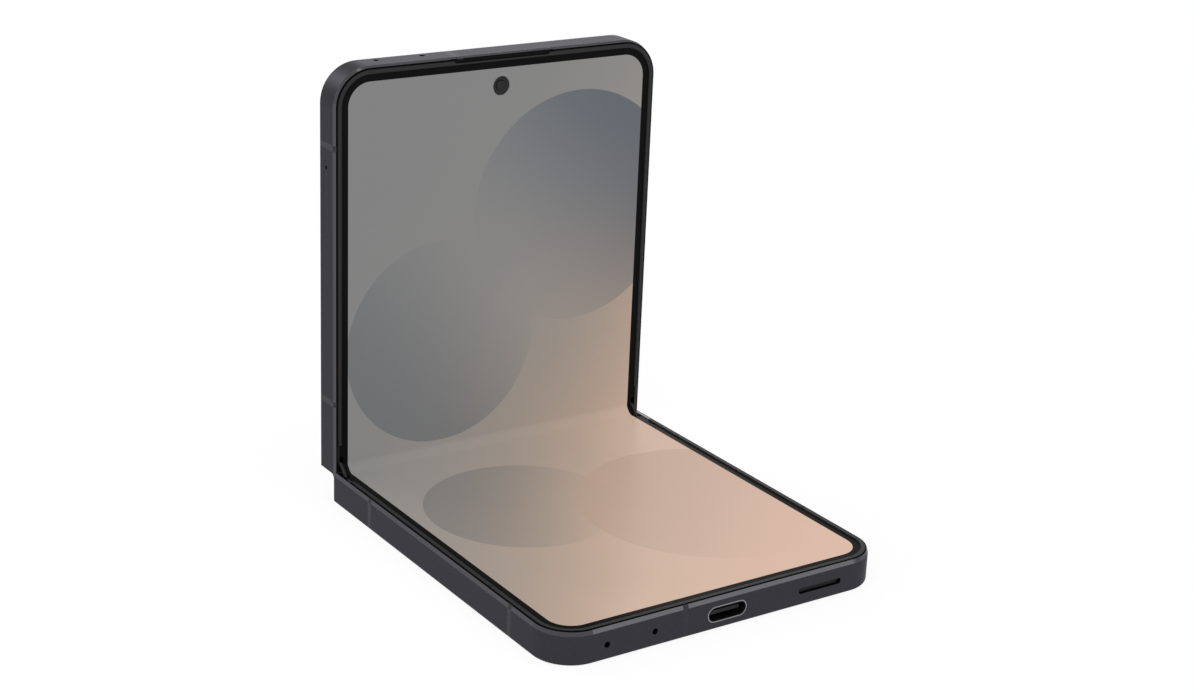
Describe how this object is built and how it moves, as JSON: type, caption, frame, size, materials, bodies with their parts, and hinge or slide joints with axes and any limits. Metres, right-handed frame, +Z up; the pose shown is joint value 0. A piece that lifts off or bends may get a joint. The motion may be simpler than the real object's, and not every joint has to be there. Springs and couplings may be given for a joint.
{
  "type": "foldable smartphone",
  "caption": "Clamshell smartphone standing half open, with a flexible display folded across a geared two-axis hinge.",
  "frame": {"origin": "middle of the lower half's back, on the surface that the phone stands on", "axes": "+Z up; +X the phone's right side, along the hinge; -Y from the hinge towards the lower half's far end; the upper half stands up at the +Y end"},
  "size_m": [0.0755, 0.0916, 0.0904],
  "materials": {
    "frame_metal": "satin anodised, dark grey",
    "back_glass": "frosted glass over dark grey paint",
    "cover_glass": "gloss glass over black",
    "screen": "clear film over a lit picture",
    "rim_plastic": "fine matt",
    "gloss_black": "gloss",
    "antenna_plastic": "satin",
    "spring_steel": "rolled",
    "hinge_steel": "machined",
    "screw_steel": "turned",
    "ring_metal": "polished, anodised",
    "lens_glass": "coated, dark",
    "camera_black": "matt",
    "battery_pouch": "crimped foil pouch",
    "circuit_board": "solder mask",
    "copper": "etched or wound copper",
    "sound_mesh": "woven, black",
    "rubber": "soft",
    "magnet": "nickel plated",
    "flash_plastic": "clear, ringed"
  },
  "bodies": {
    "lower_half": {"lower_frame": "frame_metal", "lower_back_glass": "back_glass", "lower_bezel_rim": "rim_plastic", "lower_rim_ends": "gloss_black", "lower_display_panel": "screen", "lower_support_plate": "spring_steel", "lower_antenna_breaks": "antenna_plastic", "lower_battery": "battery_pouch", "sub_board": "circuit_board", "usb_c_shell": "spring_steel", "usb_c_tongue": "gloss_black", "loudspeaker": "camera_black", "loudspeaker_mesh": "sound_mesh", "bottom_microphones": "copper", "vibration_motor": "spring_steel", "charging_coil": "copper", "lower_hinge_brackets": "hinge_steel", "lower_bracket_screws": "screw_steel", "lower_magnets": "magnet", "lower_rubber_stops": "rubber"},
    "hinge_spine": {"hinge_spine_cover": "frame_metal", "hinge_end_caps": "gloss_black", "hinge_bases": "hinge_steel", "hinge_base_screws": "screw_steel", "hinge_disc_springs": "spring_steel", "display_fold_zone": "screen", "fold_support_lattice": "spring_steel", "hinge_flex_cable": "copper"},
    "upper_half": {"upper_frame": "frame_metal", "upper_back_glass": "cover_glass", "cover_display": "gloss_black", "upper_bezel_rim": "rim_plastic", "upper_rim_ends": "gloss_black", "upper_display_panel": "screen", "upper_support_plate": "spring_steel", "upper_antenna_breaks": "antenna_plastic", "selfie_camera": "camera_black", "rear_cameras": "camera_black", "lens_rings": "ring_metal", "lens_glasses": "lens_glass", "flash_lens": "flash_plastic", "main_board": "circuit_board", "shield_cans": "spring_steel", "upper_battery": "battery_pouch", "earpiece": "camera_black", "earpiece_mesh": "sound_mesh", "top_microphones": "copper", "upper_hinge_brackets": "hinge_steel", "upper_bracket_screws": "screw_steel", "upper_magnets": "magnet", "key_switch_flex": "copper", "sim_socket": "spring_steel"},
    "lower_arms": {"lower_hinge_arms": "hinge_steel"},
    "upper_arms": {"upper_hinge_arms": "hinge_steel"},
    "lower_idlers": {"lower_idler_gears": "hinge_steel"},
    "upper_idlers": {"upper_idler_gears": "hinge_steel"},
    "side_key": {"side_key": "frame_metal"},
    "volume_rocker": {"volume_rocker": "frame_metal"},
    "sim_tray": {"sim_tray": "frame_metal"}
  },
  "joints": [
    {"name": "lower_fold", "type": "hinge", "parent": "lower_half", "child": "hinge_spine", "pos_m": [0, 0.0408, 0.00565], "axis": [-1, 0, 0], "range_deg": [-45, 45], "deforming": ["display_fold_zone", "fold_support_lattice", "hinge_flex_cable"]},
    {"name": "upper_fold", "type": "hinge", "parent": "hinge_spine", "child": "upper_half", "pos_m": [0, 0.04264, 0.00749], "axis": [-1, 0, 0], "range_deg": [-45, 45]},
    {"name": "lower_arm_swing", "type": "hinge", "parent": "hinge_spine", "child": "lower_arms", "pos_m": [0, 0.04066, 0.00381], "axis": [1, 0, 0], "range_deg": [-45, 45]},
    {"name": "upper_arm_swing", "type": "hinge", "parent": "hinge_spine", "child": "upper_arms", "pos_m": [0, 0.04448, 0.00763], "axis": [-1, 0, 0], "range_deg": [-45, 45]},
    {"name": "lower_idler_spin", "type": "hinge", "parent": "hinge_spine", "child": "lower_idlers", "pos_m": [0, 0.04193, 0.00508], "axis": [-1, 0, 0], "range_deg": [-45, 45]},
    {"name": "upper_idler_spin", "type": "hinge", "parent": "hinge_spine", "child": "upper_idlers", "pos_m": [0, 0.0432, 0.00636], "axis": [1, 0, 0], "range_deg": [-45, 45]},
    {"name": "side_key_press", "type": "slide", "parent": "upper_half", "child": "side_key", "axis": [-1, 0, 0], "range_m": [0, 0.00025], "stiffness_N_per_m": 2000, "springref_m": -0.0001},
    {"name": "volume_rock", "type": "hinge", "parent": "upper_half", "child": "volume_rocker", "pos_m": [0.0368, 0.04519, 0.06019], "axis": [0, 1, 0], "range_deg": [-1.4, 1.4], "stiffness_Nm_per_rad": 0.2},
    {"name": "sim_tray_slide", "type": "slide", "parent": "upper_half", "child": "sim_tray", "axis": [-1, 0, 0], "range_m": [0, 0.016]}
  ],
  "couplings": [
    {"joint": "upper_fold", "follows": "lower_fold", "ratio": 1},
    {"joint": "lower_arm_swing", "follows": "lower_fold", "ratio": 1},
    {"joint": "upper_arm_swing", "follows": "lower_fold", "ratio": 1},
    {"joint": "lower_idler_spin", "follows": "lower_fold", "ratio": 1},
    {"joint": "upper_idler_spin", "follows": "lower_fold", "ratio": 1}
  ]
}
